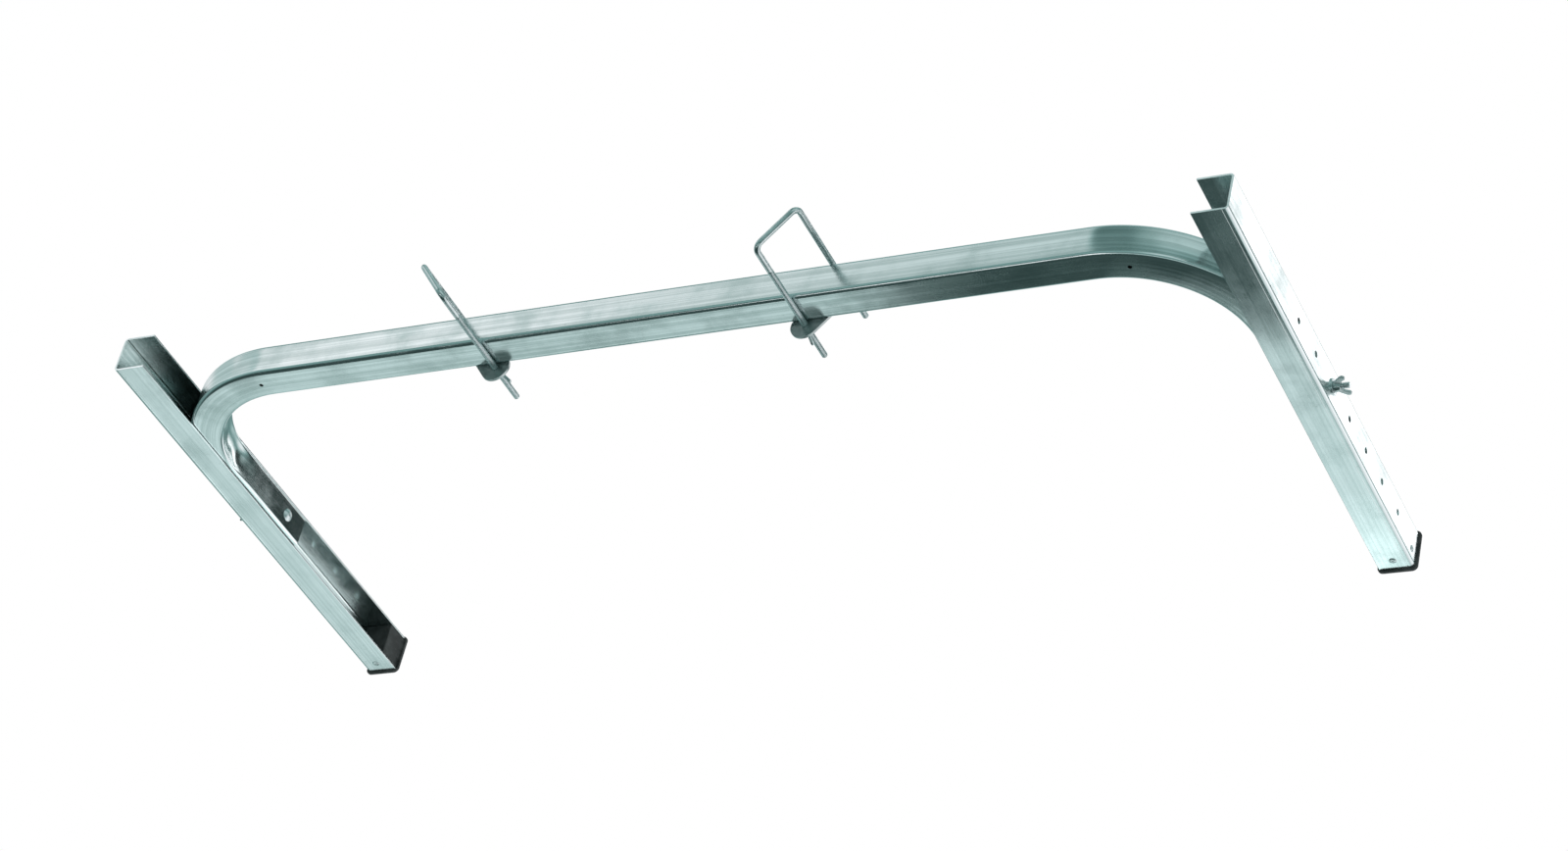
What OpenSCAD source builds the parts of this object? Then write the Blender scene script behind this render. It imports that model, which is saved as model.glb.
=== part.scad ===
// Ladder stabilizer: a bent square crossbar that is clamped behind a ladder's two rails,
// with a sliding channel arm on each end that carries a rubber pad to the wall.
// X runs along the crossbar, +Y points from the ladder to the wall, +Z points up the ladder.
// The origin is the middle of the crossbar's flat front face, where the ladder rails rest.

/* [Crossbar] */
// Width over the outer faces of the two arm channels
span_w = 1270; // [1100:5:1400]
// Side of the square tube
tube_s = 38.1; // [36:0.1:38.4]
// Wall thickness of the tube
tube_wall = 2; // [1.6:0.1:2.6]
// Outside corner radius of the tube
tube_r = 4.5; // [3.2:0.1:6]
// Radius of each bend, to the tube's centre line
bend_r = 140; // [110:5:160]
// Straight tube past the lock bolt, inside each arm
leg_past_bolt = 31; // [15:1:32]
// Diameter of the drain hole under each bend
drain_d = 4.5; // [3:0.5:6]
// Distance of the left drain hole from the start of its bend
left_drain_in = 7; // [0:1:60]
// Distance of the right drain hole from the start of its bend
right_drain_in = 39; // [0:1:60]

/* [Arm channels] */
// Length of each channel
arm_len = 558.8; // [480:0.2:620]
// Outside height of the channel
arm_h = 44.5; // [44:0.5:48]
// Depth of the flanges, over the web
arm_d = 38; // [30:0.5:40]
// Sheet thickness of the channel
arm_wall = 2.2; // [1.6:0.1:2.4]
// Outside radius of the channel's two corners
arm_r = 4.5; // [3:0.5:6]
// How far the channel reaches in front of the crossbar's face
arm_front = 38.1; // [20:0.1:60]
// Side clearance between the tube and the channel's web
web_gap = 0.4; // [0.3:0.1:1]

/* [Adjustment holes] */
// Number of holes in the web
hole_count = 7; // [5:1:7]
// Distance from hole to hole
hole_pitch = 50.8; // [50:0.1:52]
// Diameter of each hole
hole_d = 7; // [6.8:0.1:8]
// Distance of the last hole from the channel's far end
hole_end = 63.5; // [56:0.1:70]
// Holes that are left free between the bolt and the far end
holes_past = 4; // [2:1:4]

/* [End pads] */
// Thickness of the pad outside the channel
pad_t = 4; // [3:0.5:10]
// Depth of the pad's block inside the channel
pad_in = 31; // [15:1:31]
// How far the pad stands out past the channel all round
pad_out = 2.5; // [1:0.5:4]
// Corner radius of the pad
pad_r = 6; // [4:0.5:8]
// Diameter of the rivet heads
rivet_head_d = 8; // [6:0.5:10]
// Distance of the rivets from the channel's far end
rivet_end = 14; // [10:1:24]
// Drop of the web rivet below the channel's middle
rivet_drop = 9; // [0:0.5:10]

/* [Lock bolts] */
// Thread diameter of the bolts and the U-bolts
thread_d = 6.35; // [6:0.05:6.5]
// Diameter of the lock bolt's round head
head_d = 14.4; // [12:0.2:18]
// Height of the lock bolt's round head
head_h = 3.6; // [2.5:0.1:4]
// Length of the square neck under the head
neck_h = 3; // [2:0.5:4]
// Thread that stands out past the lock bolt's wing nut
lock_spare = 9; // [7:0.5:15]
// Outside diameter of the washers
washer_d = 17.5; // [15:0.5:20]
// Thickness of the washers
washer_t = 1.6; // [1:0.1:2.5]

/* [U-bolt clamps] */
// Position of the left clamp along the crossbar
left_clamp_x = -217; // [-400:1:-60]
// Position of the right clamp along the crossbar
right_clamp_x = 178; // [60:1:400]
// Distance between the two legs along the crossbar
leg_dx = 36; // [32:0.5:60]
// Distance between the two legs up the ladder
leg_dz = 45.6; // [45.6:0.2:60]
// Clear depth of the loop in front of the crossbar
rail_depth = 77; // [60:0.5:100]
// Radius of the U-bolt's square corners, to the rod's centre line
corner_r = 8; // [6:0.5:12]
// How far the threaded ends reach behind the crossbar's face
leg_back = 89; // [80:0.5:110]
// Width of the clamp plate, and of its round ends
plate_w = 32; // [24:1:36]
// Thickness of the clamp plate
plate_t = 3.2; // [2.5:0.1:5]

/* [Wing nuts] */
// Diameter of the nut's hub at its base
hub_d = 12; // [11:0.5:14]
// Diameter of the nut's hub at its top
hub_top_d = 10; // [9:0.5:12]
// Height of the hub
hub_h = 7; // [5:0.5:9]
// Width from wing tip to wing tip
wing_span = 28; // [24:0.5:32]
// Height of the wing tips over the nut's base
wing_h = 14; // [11:0.5:16]
// Thickness of the wings
wing_t = 2.6; // [2:0.1:3.5]

/* [Hidden] */
$fn = 64;

EPS = 1;                     // how far a cutter runs past the face it cuts
clear_d = 0.12;              // diameter clearance of a nut on its thread
neck_clear = 0.5;            // clearance of the square neck in its hole, over both sides
rivet_d = 4.2;               // rivet shank
rivet_head_h = 1.4;
rivet_len = 12;              // rivet, from the outer face into the pad
tip_chamfer = 1;             // chamfer on each threaded end
wing_tip_r = 2.8;            // round tip of a wing nut's wing
wing_bite = 1.6;             // how far a wing reaches into its hub
wing_lift = 0.8;             // underside of a wing at the hub, over the nut's base
heel_out = 1.2;              // heel of a wing, out from the hub
heel_up = 1.4;               // the same heel, over the nut's base
edge_in = 0.6;               // how far a wing's edges keep in from its tip and its hub's top
edge_drop = 1.6;             // drop of a wing's outer edge below the tip's middle
tube_mid = tube_s / 2;       // the crossbar's centre line behind its front face
leg_x = span_w / 2 - arm_wall - web_gap - tube_s / 2;   // the legs' centre lines
bend_x = leg_x - bend_r;     // where each bend starts
leg_y0 = tube_mid + bend_r;  // where each bend ends
arm_y1 = arm_len - arm_front;                           // the channels' far ends
bolt_y = arm_y1 - hole_end - holes_past * hole_pitch;   // the lock bolts
leg_y1 = bolt_y + leg_past_bolt;                        // the tube's ends
web_x = span_w / 2;          // outer face of the web
head_x = leg_x - tube_s / 2; // inner face of the tube's leg
nut_x = web_x + washer_t;    // seat of the lock bolt's wing nut
diagonal = sqrt(leg_dx * leg_dx + leg_dz * leg_dz);     // leg to leg, centre to centre
tilt = atan2(leg_dz, leg_dx);                           // angle of the clamps over X
base_y = -rail_depth - thread_d / 2;                    // centre line of the U-bolt's base
plate_y = tube_s;
clamp_nut_y = plate_y + plate_t + washer_t;

metal = [0.74, 0.79, 0.79];
zinc = [0.62, 0.66, 0.68];
dark_zinc = [0.30, 0.33, 0.34];
black = [0.09, 0.09, 0.09];

// A part made for the right side, mirrored to the left when side is -1
module on_side(side) {
    if (side > 0) children();
    else mirror([1, 0, 0]) children();
}

// A square with four round corners, centred
module round_square(w, h, r) {
    square([w - 2 * r, h], center = true);
    square([w, h - 2 * r], center = true);
    for (sx = [-1, 1], sy = [-1, 1])
        translate([sx * (w / 2 - r), sy * (h / 2 - r)]) circle(r);
}

// The tube's wall in section
module tube_section() {
    difference() {
        round_square(tube_s, tube_s, tube_r);
        round_square(tube_s - 2 * tube_wall, tube_s - 2 * tube_wall, tube_r - tube_wall);
    }
}

// ---- crossbar ----
module crossbar_tube() {
    color(metal) difference() {
        union() {
            translate([-bend_x, tube_mid, 0]) rotate([90, 0, 90])
                linear_extrude(2 * bend_x) tube_section();
            for (side = [-1, 1]) on_side(side) {
                translate([bend_x, tube_mid + bend_r, 0]) rotate([0, 0, -90])
                    rotate_extrude(angle = 90) translate([bend_r, 0]) tube_section();
                translate([leg_x, leg_y0, 0]) rotate([-90, 0, 0])
                    linear_extrude(leg_y1 - leg_y0) tube_section();
            }
        }
        for (side = [-1, 1]) on_side(side) {
            // square hole for the bolt's neck, then a round one in the outer wall
            translate([head_x + tube_wall / 2, bolt_y, 0])
                cube([tube_wall + 2 * EPS, thread_d + neck_clear, thread_d + neck_clear],
                     center = true);
            translate([leg_x, bolt_y, 0]) rotate([0, 90, 0])
                cylinder(h = tube_s / 2 + EPS, d = hole_d);
            // drain hole in the underside
            drain_in = side > 0 ? right_drain_in : left_drain_in;
            across = sqrt(bend_r * bend_r - drain_in * drain_in);
            translate([bend_x + drain_in, leg_y0 - across, -tube_s / 2 - EPS])
                cylinder(h = tube_wall + 2 * EPS, d = drain_d);
        }
    }
}

// ---- arm channels ----
// A "C" that opens towards -X, with its web's outer face on x = 0
module channel_outline(depth, h, r) {
    translate([-depth, -h / 2]) square([depth - r, h]);
    translate([-r, -h / 2 + r]) square([r, h - 2 * r]);
    for (s = [-1, 1]) translate([-r, s * (h / 2 - r)]) circle(r);
}

module channel_section() {
    difference() {
        channel_outline(arm_d, arm_h, arm_r);
        translate([-arm_wall, 0])
            channel_outline(arm_d, arm_h - 2 * arm_wall, arm_r - arm_wall);
    }
}

module arm_channel(side) {
    color(metal) on_side(side) difference() {
        translate([web_x, arm_y1, 0]) rotate([90, 0, 0])
            linear_extrude(arm_len) channel_section();
        for (i = [0 : hole_count - 1])
            translate([web_x - arm_wall - EPS, arm_y1 - hole_end - i * hole_pitch, 0])
                rotate([0, 90, 0]) cylinder(h = arm_wall + 2 * EPS, d = hole_d);
        web_rivet() cylinder(h = arm_wall + 2 * EPS, d = rivet_d, center = true);
        flange_rivet() cylinder(h = arm_wall + 2 * EPS, d = rivet_d, center = true);
    }
}
module left_arm_channel() { arm_channel(-1); }
module right_arm_channel() { arm_channel(1); }

// ---- end pads ----
// Children are placed at the middle of the web's sheet, with +Z pointing outwards
module web_rivet() {
    translate([web_x - arm_wall / 2, arm_y1 - rivet_end, -rivet_drop]) rotate([0, 90, 0])
        children();
}

// The same for the lower flange
module flange_rivet() {
    translate([web_x - arm_d / 2, arm_y1 - rivet_end, -arm_h / 2 + arm_wall / 2])
        rotate([180, 0, 0]) children();
}

module rivet() {
    translate([0, 0, arm_wall / 2]) intersection() {
        cylinder(h = rivet_head_h, d = rivet_head_d);
        translate([0, 0, rivet_head_h - rivet_head_d]) sphere(rivet_head_d);
    }
    translate([0, 0, arm_wall / 2 - rivet_len]) cylinder(h = rivet_len, d = rivet_d);
}

module rivet_cut() {
    translate([0, 0, arm_wall / 2 - rivet_len]) cylinder(h = rivet_len, d = rivet_d);
}

module end_pad(side) {
    plate_d = arm_d + 2 * pad_out;
    plate_h = arm_h + 2 * pad_out;
    color(black) on_side(side) difference() {
        union() {
            translate([web_x + pad_out - plate_d / 2, arm_y1 + pad_t, 0]) rotate([90, 0, 0])
                linear_extrude(pad_t) round_square(plate_d, plate_h, pad_r);
            // the block that fills the channel's end
            translate([web_x - arm_wall, arm_y1, 0]) rotate([90, 0, 0])
                linear_extrude(pad_in)
                    channel_outline(arm_d - arm_wall, arm_h - 2 * arm_wall, arm_r - arm_wall);
        }
        web_rivet() rivet_cut();
        flange_rivet() rivet_cut();
    }
}
module left_end_pad() { end_pad(-1); }
module right_end_pad() { end_pad(1); }

module pad_rivets(side) {
    color(zinc) on_side(side) {
        web_rivet() rivet();
        flange_rivet() rivet();
    }
}
module left_pad_rivets() { pad_rivets(-1); }
module right_pad_rivets() { pad_rivets(1); }

// ---- shared hardware ----
module chamfered_rod(h, d) {
    cylinder(h = h - tip_chamfer, d = d);
    translate([0, 0, h - tip_chamfer])
        cylinder(h = tip_chamfer, d1 = d, d2 = d - 2 * tip_chamfer);
}

module washer() {
    difference() {
        cylinder(h = washer_t, d = washer_d);
        translate([0, 0, -EPS]) cylinder(h = washer_t + 2 * EPS, d = hole_d);
    }
}

// One wing in outline, from the hub out to its round tip
module wing_outline() {
    root_x = hub_top_d / 2 - wing_bite;
    polygon([[root_x, wing_lift],
             [hub_d / 2 + heel_out, heel_up],
             [wing_span / 2 - edge_in, wing_h - wing_tip_r - edge_drop],
             [wing_span / 2 - 2 * wing_tip_r, wing_h - wing_tip_r + edge_in],
             [root_x, hub_h - edge_in]]);
    translate([wing_span / 2 - wing_tip_r, wing_h - wing_tip_r]) circle(wing_tip_r);
}

// Base on z = 0, threads along +Z, wings along +X and -X
module wing_nut() {
    difference() {
        union() {
            cylinder(h = hub_h, d1 = hub_d, d2 = hub_top_d);
            for (s = [0, 180]) rotate([90, 0, s])
                linear_extrude(wing_t, center = true) wing_outline();
        }
        translate([0, 0, -EPS]) cylinder(h = wing_h + 2 * EPS, d = thread_d + clear_d);
    }
}

// ---- lock bolts ----
module lock_bolt(side) {
    round_r = (head_d * head_d / 4 + head_h * head_h) / (2 * head_h);
    bolt_len = nut_x + hub_h + lock_spare - head_x;
    color(zinc) on_side(side) translate([head_x, bolt_y, 0]) rotate([0, 90, 0]) {
        intersection() {
            translate([0, 0, -head_h]) cylinder(h = head_h, d = head_d);
            translate([0, 0, round_r - head_h]) sphere(round_r);
        }
        translate([0, 0, neck_h / 2])
            cube([thread_d, thread_d, neck_h], center = true);
        chamfered_rod(bolt_len, thread_d);
    }
}
module left_lock_bolt() { lock_bolt(-1); }
module right_lock_bolt() { lock_bolt(1); }

module lock_washer(side) {
    color(zinc) on_side(side) translate([web_x, bolt_y, 0]) rotate([0, 90, 0]) washer();
}
module left_lock_washer() { lock_washer(-1); }
module right_lock_washer() { lock_washer(1); }

// The turn is measured from the direction of the channel
module lock_wing_nut(side, turn) {
    color(zinc) on_side(side) translate([nut_x, bolt_y, 0])
        rotate([0, 90, 0]) rotate([0, 0, 90 + turn]) wing_nut();
}
module left_lock_wing_nut() { lock_wing_nut(-1, 35); }
module right_lock_wing_nut() { lock_wing_nut(1, 0); }

// ---- U-bolt clamps ----
// Each clamp crosses the tube on the slant: its outer leg passes over the tube and its
// inner leg under it. Children use X along the slant and Y as in the whole part.
module at_clamp(side) {
    translate([side > 0 ? right_clamp_x : left_clamp_x, 0, 0])
        on_side(side) rotate([0, -tilt, 0]) children();
}

module u_bolt(side) {
    color(zinc) at_clamp(side) {
        translate([-diagonal / 2 + corner_r, base_y, 0]) rotate([0, 90, 0])
            cylinder(h = diagonal - 2 * corner_r, d = thread_d);
        for (s = [-1, 1]) {
            translate([s * (diagonal / 2 - corner_r), base_y + corner_r, 0])
                rotate([0, 0, s > 0 ? -90 : 180])
                    rotate_extrude(angle = 90) translate([corner_r, 0]) circle(d = thread_d);
            translate([s * diagonal / 2, base_y + corner_r, 0]) rotate([-90, 0, 0])
                chamfered_rod(leg_back - base_y - corner_r, thread_d);
        }
    }
}
module left_u_bolt() { u_bolt(-1); }
module right_u_bolt() { u_bolt(1); }

module clamp_plate(side) {
    color(dark_zinc) at_clamp(side) translate([0, plate_y + plate_t, 0]) rotate([90, 0, 0])
        linear_extrude(plate_t) difference() {
            union() {
                square([diagonal, plate_w], center = true);
                for (s = [-1, 1]) translate([s * diagonal / 2, 0]) circle(d = plate_w);
            }
            for (s = [-1, 1]) translate([s * diagonal / 2, 0]) circle(d = hole_d);
        }
}
module left_clamp_plate() { clamp_plate(-1); }
module right_clamp_plate() { clamp_plate(1); }

// end is 1 at the outer leg over the tube and -1 at the inner leg under it
module clamp_washer(side, end) {
    color(zinc) at_clamp(side) translate([end * diagonal / 2, plate_y + plate_t, 0])
        rotate([-90, 0, 0]) washer();
}
module left_upper_washer() { clamp_washer(-1, 1); }
module left_lower_washer() { clamp_washer(-1, -1); }
module right_upper_washer() { clamp_washer(1, 1); }
module right_lower_washer() { clamp_washer(1, -1); }

// The turn is measured from the slant of the clamp
module clamp_wing_nut(side, end, turn) {
    color(zinc) at_clamp(side) translate([end * diagonal / 2, clamp_nut_y, 0])
        rotate([-90, 0, 0]) rotate([0, 0, turn]) wing_nut();
}
module left_upper_wing_nut() { clamp_wing_nut(-1, 1, 70); }
module left_lower_wing_nut() { clamp_wing_nut(-1, -1, 20); }
module right_upper_wing_nut() { clamp_wing_nut(1, 1, -30); }
module right_lower_wing_nut() { clamp_wing_nut(1, -1, -55); }

crossbar_tube();
left_arm_channel();
right_arm_channel();
left_end_pad();
right_end_pad();
left_pad_rivets();
right_pad_rivets();
left_lock_bolt();
right_lock_bolt();
left_lock_washer();
right_lock_washer();
left_lock_wing_nut();
right_lock_wing_nut();
left_u_bolt();
right_u_bolt();
left_clamp_plate();
right_clamp_plate();
left_upper_washer();
left_lower_washer();
right_upper_washer();
right_lower_washer();
left_upper_wing_nut();
left_lower_wing_nut();
right_upper_wing_nut();
right_lower_wing_nut();
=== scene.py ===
"""Ladder stabilizer: the detailed pieces, finishes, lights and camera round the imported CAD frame."""
import math

import bmesh
import bpy
from mathutils import Matrix, Vector


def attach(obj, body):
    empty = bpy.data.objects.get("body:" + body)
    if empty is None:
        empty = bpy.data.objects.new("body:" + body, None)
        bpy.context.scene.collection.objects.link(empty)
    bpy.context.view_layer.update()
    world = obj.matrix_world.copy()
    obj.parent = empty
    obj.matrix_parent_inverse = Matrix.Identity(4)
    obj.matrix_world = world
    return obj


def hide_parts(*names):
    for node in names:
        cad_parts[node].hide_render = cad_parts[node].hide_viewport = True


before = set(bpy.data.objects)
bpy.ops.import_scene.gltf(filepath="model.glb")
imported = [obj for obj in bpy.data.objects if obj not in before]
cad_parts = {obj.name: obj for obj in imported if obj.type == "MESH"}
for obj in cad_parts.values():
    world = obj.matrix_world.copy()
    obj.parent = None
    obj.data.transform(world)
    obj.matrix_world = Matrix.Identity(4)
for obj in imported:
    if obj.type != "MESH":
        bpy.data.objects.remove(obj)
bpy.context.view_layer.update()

MM = 0.001

# ---- sizes, in millimetres, as in the CAD ----
TUBE = 38.1
TUBE_WALL = 2.0
TUBE_R = 4.5
BEND_R = 140.0
LEG_X = 613.35
WEB_X = 635.0
BOLT_Y = 254.0
LEG_END_Y = 285.0
ARM_Y0, ARM_Y1 = -38.1, 520.7
ARM_H, ARM_D, ARM_WALL, ARM_R = 44.5, 38.0, 2.2, 4.5
HOLE_D = 7.0
HOLES = [ARM_Y1 - 63.5 - 50.8 * i for i in range(7)]
PAD_T, PAD_IN, PAD_OUT, PAD_R = 4.0, 31.0, 2.5, 6.0
RIVET_Y = ARM_Y1 - 14.0
RIVET_DROP = 9.0
ROD = 6.35
PITCH = 1.27
HEAD_D, HEAD_H, NECK_H = 14.4, 3.6, 3.0
BOLT_TIP_X = 652.6
WASHER_D, WASHER_T = 17.5, 1.6
CLAMP_X = {"left": -217.0, "right": 178.0}
LEG_DX, LEG_DZ = 36.0, 45.6
BASE_Y = -80.175
CORNER_R = 8.0
TIP_Y = 89.0
PLATE_W, PLATE_T = 32.0, 3.2
HUB_D, HUB_TOP_D, HUB_H = 12.0, 10.0, 7.0
WING_SPAN, WING_H, WING_T, WING_TIP_R = 28.0, 14.0, 2.6, 2.8
DRAIN_D = 4.5
DRAIN_IN = {"left": 7.0, "right": 39.0}

SIDES = {"left": -1, "right": 1}
TAU = 2 * math.pi
BEND_X = LEG_X - BEND_R
BEND_LEN = BEND_R * math.pi / 2
LEG_Y0 = TUBE / 2 + BEND_R
DIAGONAL = math.hypot(LEG_DX, LEG_DZ)
TILT = math.atan2(LEG_DZ, LEG_DX)


def smooth(t):
    """0 to 1 with soft ends."""
    t = min(max(t, 0.0), 1.0)
    return t * t * (3 - 2 * t)


# ---- node materials ----
class Shader:
    """A node material with its Principled shader, and short ways to make the nodes that feed it."""

    def __init__(self, name):
        self.material = bpy.data.materials.new(name)
        self.material.use_nodes = True
        self.tree = self.material.node_tree
        self.bsdf = self.tree.nodes["Principled BSDF"]

    def node(self, kind, inputs=None, **settings):
        made = self.tree.nodes.new(kind)
        for key, value in settings.items():
            setattr(made, key, value)
        for key, value in (inputs or {}).items():
            self.put(made.inputs[key], value)
        return made

    def put(self, socket, value):
        if isinstance(value, bpy.types.NodeSocket):
            self.tree.links.new(value, socket)
        else:
            socket.default_value = value

    def spot(self, source):
        """Coordinates: "object" in metres, or a UV map."""
        if source == "object":
            return self.node("ShaderNodeTexCoord").outputs["Object"]
        return self.node("ShaderNodeUVMap", uv_map=source).outputs["UV"]

    def scaled(self, vector, scale, turn=0.0):
        out = self.node("ShaderNodeMapping", {"Vector": vector, "Scale": scale, "Rotation": (0, 0, turn)})
        return out.outputs["Vector"]

    def noise(self, vector, scale=1.0, detail=2.0, rough=0.5):
        inputs = {"Vector": vector, "Scale": scale, "Detail": detail, "Roughness": rough}
        made = self.node("ShaderNodeTexNoise", inputs)
        return made.outputs["Fac"]

    def cells(self, vector, scale):
        made = self.node("ShaderNodeTexVoronoi", {"Vector": vector, "Scale": scale})
        return made.outputs["Distance"]

    def fit(self, value, low, high, to_low=0.0, to_high=1.0):
        made = self.node(
            "ShaderNodeMapRange",
            {"Value": value, "From Min": low, "From Max": high, "To Min": to_low, "To Max": to_high},
            interpolation_type="SMOOTHSTEP",
        )
        return made.outputs["Result"]

    def calc(self, how, a, b=0.0):
        made = self.node("ShaderNodeMath", operation=how)
        self.put(made.inputs[0], a)
        self.put(made.inputs[1], b)
        return made.outputs["Value"]

    def mix(self, factor, a, b):
        made = self.node("ShaderNodeMix", data_type="RGBA")
        self.put(made.inputs[0], factor)
        self.put(made.inputs[6], a)
        self.put(made.inputs[7], b)
        return made.outputs[2]

    def finish(self, color, roughness, height, depth, strength=0.5, metallic=0.0):
        """Links the colour, the roughness and the bump, whose full height is depth in metres."""
        self.put(self.bsdf.inputs["Base Color"], color)
        self.put(self.bsdf.inputs["Roughness"], roughness)
        self.bsdf.inputs["Metallic"].default_value = metallic
        bump = self.node("ShaderNodeBump", {"Height": height, "Distance": depth, "Strength": strength})
        self.put(self.bsdf.inputs["Normal"], bump.outputs["Normal"])
        return self.material


def rgb(r, g, b):
    return (r, g, b, 1.0)


def aluminium(name, light, dark, rough, streak):
    """Mill finish: die lines along the length, oxide haze, handling scratches, bright rubbed corners."""
    s = Shader(name)
    along = s.spot("along")
    wear = s.node("ShaderNodeSeparateXYZ", {"Vector": s.spot("wear")}).outputs["X"]
    place = s.spot("object")
    fine = s.noise(s.scaled(along, (3.0, 2600.0, 1.0)), 1.0, 3.0, 0.6)
    broad = s.noise(s.scaled(along, (1.3, 210.0, 1.0)), 1.0, 3.0, 0.65)
    haze = s.noise(place, 16.0, 5.0, 0.6)
    spots = s.noise(place, 210.0, 3.0, 0.6)
    drag = s.noise(s.scaled(along, (26.0, 1500.0, 1.0), 0.16), 1.0, 1.0, 0.5)
    cross = s.noise(s.scaled(along, (34.0, 1900.0, 1.0), -0.9), 1.0, 1.0, 0.5)
    scratch = s.calc("MAXIMUM", s.fit(drag, 0.69, 0.73), s.fit(cross, 0.72, 0.75))
    band = s.fit(broad, 0.36, 0.66)
    tone = s.calc("ADD", s.calc("MULTIPLY", band, streak), s.calc("MULTIPLY", s.fit(fine, 0.3, 0.7), 0.22))
    color = s.mix(tone, dark, light)
    color = s.mix(s.fit(haze, 0.46, 0.72, 0.0, 0.34), color, rgb(0.50, 0.60, 0.58))
    color = s.mix(s.fit(spots, 0.66, 0.74, 0.0, 0.4), color, rgb(0.34, 0.40, 0.39))
    color = s.mix(s.calc("MULTIPLY", scratch, 0.5), color, rgb(0.93, 0.97, 0.97))
    color = s.mix(s.calc("MULTIPLY", wear, 0.45), color, rgb(0.92, 0.97, 0.98))
    gloss = s.fit(haze, 0.35, 0.7, rough - 0.04, rough + 0.10)
    gloss = s.calc("ADD", gloss, s.fit(fine, 0.3, 0.7, -0.03, 0.05))
    gloss = s.calc("SUBTRACT", gloss, s.calc("MULTIPLY", wear, 0.05))
    height = s.calc("ADD", s.calc("MULTIPLY", fine, 0.07), s.calc("MULTIPLY", broad, 0.6))
    height = s.calc("SUBTRACT", height, s.calc("MULTIPLY", scratch, 0.06))
    height = s.calc("ADD", height, s.calc("MULTIPLY", haze, 0.5))
    return s.finish(color, gloss, height, 0.00012, 0.5, 1.0)


def plated_steel(name, light, dark, rough, hollow_shade_amount=0.75):
    """Zinc plate: a fine crystalline bloom, dull patches, high spots made brighter as rubbed wear and painted
    highlight, and painted shade darkening the hollows.
    """
    s = Shader(name)
    place = s.spot("object")
    bloom = s.cells(place, 900.0)
    patch = s.noise(place, 90.0, 4.0, 0.6)
    pits = s.noise(place, 1300.0, 2.0, 0.6)
    convexity = s.node("ShaderNodeNewGeometry").outputs["Pointiness"]
    # High spots, found by pointiness, are made brighter: partly rubbed wear, partly a painted highlight along
    # crests and edges.
    high = s.fit(convexity, 0.51, 0.60)
    # Hollows, found by pointiness, are darkened towards black: painted shade in thread roots and inner
    # corners.
    painted_hollow_shade = s.fit(convexity, 0.49, 0.42)
    color = s.mix(s.fit(patch, 0.32, 0.68), dark, light)
    color = s.mix(s.fit(bloom, 0.2, 0.9, 0.0, 0.22), color, dark)
    # Rubbed wear together with painted highlight: the high spots are mixed towards pale zinc.
    color = s.mix(s.calc("MULTIPLY", high, 0.6), color, rgb(0.86, 0.90, 0.90))
    # Painted shade: the hollows are mixed towards near black.
    color = s.mix(s.calc("MULTIPLY", painted_hollow_shade, hollow_shade_amount), color, rgb(0.05, 0.06, 0.06))
    gloss = s.fit(patch, 0.3, 0.7, rough - 0.06, rough + 0.12)
    gloss = s.calc("ADD", gloss, s.fit(pits, 0.3, 0.7, -0.03, 0.05))
    height = s.calc("ADD", s.calc("MULTIPLY", pits, 0.6), s.calc("MULTIPLY", bloom, 0.3))
    return s.finish(color, gloss, height, 0.00006, 0.5, 1.0)


def moulded_rubber(name):
    """Black moulded rubber: fine grain, a grey bloom, scuff marks and scuffed edges."""
    s = Shader(name)
    place = s.spot("object")
    grain = s.noise(place, 1800.0, 3.0, 0.6)
    bloom = s.noise(place, 60.0, 5.0, 0.6)
    scuff = s.noise(s.scaled(place, (300.0, 40.0, 300.0), 0.3), 1.0, 3.0, 0.6)
    convexity = s.fit(s.node("ShaderNodeNewGeometry").outputs["Pointiness"], 0.51, 0.62)
    color = s.mix(s.fit(bloom, 0.35, 0.7), rgb(0.012, 0.014, 0.014), rgb(0.045, 0.052, 0.052))
    color = s.mix(s.fit(scuff, 0.6, 0.75, 0.0, 0.5), color, rgb(0.10, 0.11, 0.11))
    color = s.mix(s.calc("MULTIPLY", convexity, 0.6), color, rgb(0.09, 0.10, 0.10))
    gloss = s.calc("ADD", s.fit(bloom, 0.3, 0.7, 0.52, 0.74), s.fit(grain, 0.3, 0.7, -0.06, 0.06))
    height = s.calc("ADD", s.calc("MULTIPLY", grain, 0.7), s.calc("MULTIPLY", scuff, 0.3))
    return s.finish(color, gloss, height, 0.0001, 0.6)


def studio_floor(name):
    """Pale matt studio floor with a faint mottle."""
    s = Shader(name)
    place = s.spot("object")
    mottle = s.noise(place, 1.5, 4.0, 0.6)
    grain = s.noise(place, 60.0, 2.0, 0.5)
    color = s.mix(mottle, rgb(0.86, 0.87, 0.87), rgb(0.90, 0.91, 0.91))
    return s.finish(color, s.fit(mottle, 0.3, 0.7, 0.85, 0.95), grain, 0.0005, 0.2)


TUBE_METAL = aluminium("tube_aluminium", rgb(0.86, 0.92, 0.92), rgb(0.52, 0.60, 0.59), 0.17, 0.80)
CHANNEL_METAL = aluminium("channel_aluminium", rgb(0.90, 0.94, 0.94), rgb(0.62, 0.70, 0.69), 0.19, 0.75)
RIVET_METAL = plated_steel("rivet_aluminium", rgb(0.84, 0.88, 0.88), rgb(0.62, 0.68, 0.68), 0.28)
# The bolt's zinc gets a lighter painted shade in its hollows than the other zinc finishes.
BOLT_METAL = plated_steel("bolt_zinc", rgb(0.86, 0.90, 0.91), rgb(0.55, 0.61, 0.61), 0.24, 0.35)
NUT_METAL = plated_steel("nut_zinc", rgb(0.80, 0.85, 0.85), rgb(0.44, 0.50, 0.50), 0.30)
# The clamp plates' zinc has dark colours: painted shade for the plates' faces, which lie in shadow.
PLATE_ZINC_PAINTED_SHADE = plated_steel("plate_zinc", rgb(0.42, 0.48, 0.47), rgb(0.20, 0.24, 0.24), 0.34)
RUBBER = moulded_rubber("pad_rubber")


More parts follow.
